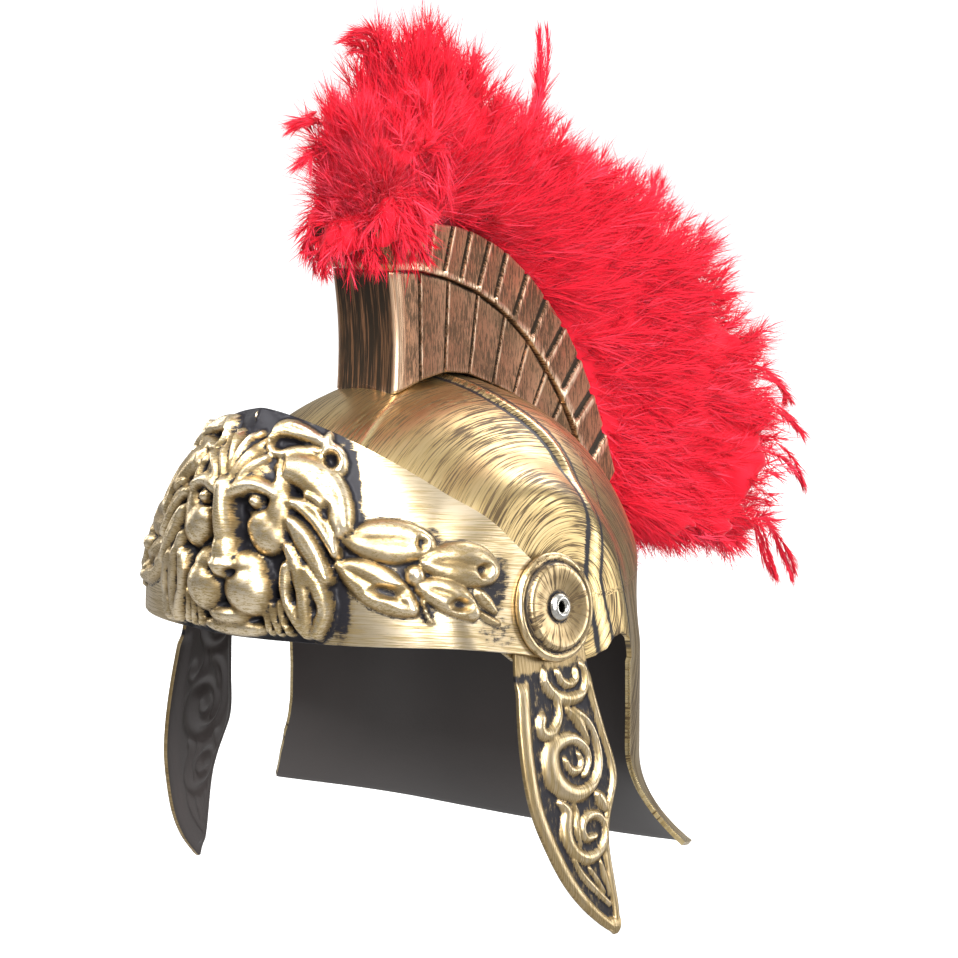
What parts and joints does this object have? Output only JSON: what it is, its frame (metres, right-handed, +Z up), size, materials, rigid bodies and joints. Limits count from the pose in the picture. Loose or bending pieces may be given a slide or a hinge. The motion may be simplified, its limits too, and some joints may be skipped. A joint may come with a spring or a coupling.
{
  "type": "gladiator helmet",
  "caption": "Costume gladiator helmet: ridged dome with a flared neck guard, lion-mask brow band, hinged cheek guards on rosettes, and a feather plume on an arched ribbed crest.",
  "frame": {"origin": "where the crown of the wearer's head meets the inside of the dome, on the middle plane", "axes": "+X to the wearer's left, +Y to the wearer's back, +Z up, as worn; the wearer faces -Y"},
  "size_m": [0.2376, 0.4591, 0.3918],
  "materials": {
    "gold_shell": "antique gold paint with fine dark brushed streaks; dark charcoal inside",
    "gold_relief": "antique gold paint, polished on the high parts and blue-black in the hollows",
    "gold_crest": "dark antique gold paint, brushed",
    "feather": "dyed red marabou feather",
    "eyelet": "plain metal eyelet rivet"
  },
  "bodies": {
    "root": {"dome_shell": "gold_shell", "brow_band": "gold_relief", "crest_holder": "gold_crest", "crest_rail": "gold_crest", "plume": "feather", "rosette_left": "gold_relief", "rosette_right": "gold_relief", "rivet_left": "eyelet", "rivet_right": "eyelet"},
    "cheek_left": {"cheek_guard_left": "gold_relief"},
    "cheek_right": {"cheek_guard_right": "gold_relief"}
  },
  "joints": [
    {"name": "left_cheek_swing", "type": "hinge", "parent": "root", "child": "cheek_left", "pos_m": [0.096, -0.032, -0.088], "axis": [0.9763, -0.1477, 0.1582], "range_deg": [-20, 20]},
    {"name": "right_cheek_swing", "type": "hinge", "parent": "root", "child": "cheek_right", "pos_m": [-0.096, -0.032, -0.088], "axis": [0.9763, 0.1477, -0.1582], "range_deg": [-20, 20]}
  ]
}
